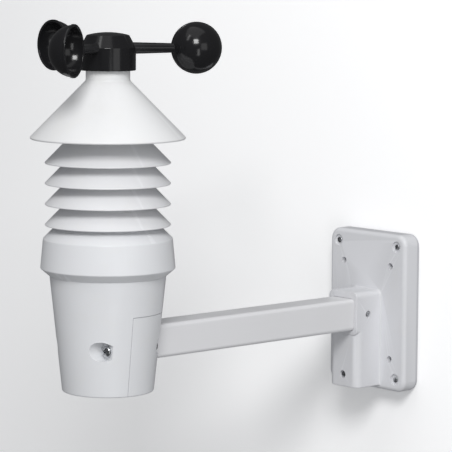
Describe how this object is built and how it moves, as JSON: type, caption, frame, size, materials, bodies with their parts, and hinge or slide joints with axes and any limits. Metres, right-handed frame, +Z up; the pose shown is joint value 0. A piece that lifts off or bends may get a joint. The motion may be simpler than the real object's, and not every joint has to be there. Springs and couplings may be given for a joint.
{
  "type": "wall-mounted weather sensor",
  "caption": "Outdoor weather sensor with a spinning cup anemometer, louvred radiation shield, tapered housing, square arm and wall bracket.",
  "frame": {"origin": "centre of the wall bracket's flat back face", "axes": "+Y points out of the back face into the wall, +Z is up, and the arm and sensor extend along -Y"},
  "size_m": [0.1441, 0.3669, 0.3064],
  "materials": {
    "housing_white": "fine satin, UV-stable moulded plastic",
    "shield_white": "satin moulded plastic",
    "cone_white": "satin moulded plastic",
    "bracket_white": "satin moulded plastic",
    "panel_grey": "matt moulded plastic",
    "arm_white": "powder-coated square tube",
    "rotor_black": "glossy moulded plastic",
    "screw_steel": "bright zinc-plated steel",
    "bearing_steel": "ground bearing steel",
    "inner_dark": "matt moulded plastic",
    "inner_grey": "matt moulded plastic",
    "seal_rubber": "soft matt rubber",
    "board_green": "solder mask",
    "chip_white": "matt ceramic-like cap",
    "shield_can": "tinned steel can",
    "cable_black": "matt cable jacket",
    "contact_metal": "plated spring metal",
    "antenna_copper": "enamelled copper wire",
    "cell_jacket": "printed film with no print",
    "magnet_dark": "nickel-plated magnet",
    "reed_glass": "sealed glass tube",
    "button_red": "matt moulded plastic"
  },
  "bodies": {
    "station": {"wall_back_plate": "panel_grey", "wall_bracket": "bracket_white", "plate_screws": "screw_steel", "socket_side_screws": "screw_steel", "rib_screw": "screw_steel", "arm_tube": "arm_white", "arm_clamp": "inner_grey", "arm_cross_pin": "screw_steel", "front_shell": "housing_white", "rear_cover": "housing_white", "cover_seal": "seal_rubber", "front_screws": "screw_steel", "rear_screws": "screw_steel", "collar": "housing_white", "louvre_1": "shield_white", "louvre_2": "shield_white", "louvre_3": "shield_white", "louvre_4": "shield_white", "shield_tie_screws": "screw_steel", "top_cone": "cone_white", "bearing_housing": "inner_grey", "housing_screws": "screw_steel", "lower_bearing_race": "bearing_steel", "upper_bearing_race": "bearing_steel", "reed_switch": "reed_glass", "sensor_board": "board_green", "humidity_sensor": "chip_white", "sensor_cage": "shield_white", "sensor_harness": "cable_black", "main_board": "board_green", "board_screws": "screw_steel", "radio_module": "shield_can", "antenna_coil": "antenna_copper", "reset_switch": "inner_dark", "battery_holder": "inner_dark", "battery_cells": "cell_jacket", "battery_contacts": "contact_metal"},
    "rotor": {"rotor_hub": "rotor_black", "wind_cup_1": "rotor_black", "wind_cup_2": "rotor_black", "wind_cup_3": "rotor_black", "rotor_shaft": "bearing_steel", "shaft_screw": "screw_steel", "lower_bearing_core": "bearing_steel", "upper_bearing_core": "bearing_steel", "rotor_magnet": "magnet_dark"},
    "reset_button": {"reset_button": "button_red"}
  },
  "joints": [
    {"name": "rotor_spin", "type": "hinge", "parent": "station", "child": "rotor", "pos_m": [0, -0.2905, 0.2], "axis": [0, 0, 1], "continuous": true},
    {"name": "reset_button_press", "type": "slide", "parent": "station", "child": "reset_button", "axis": [0, -1, 0], "range_m": [0, 0.001], "stiffness_N_per_m": 400}
  ]
}
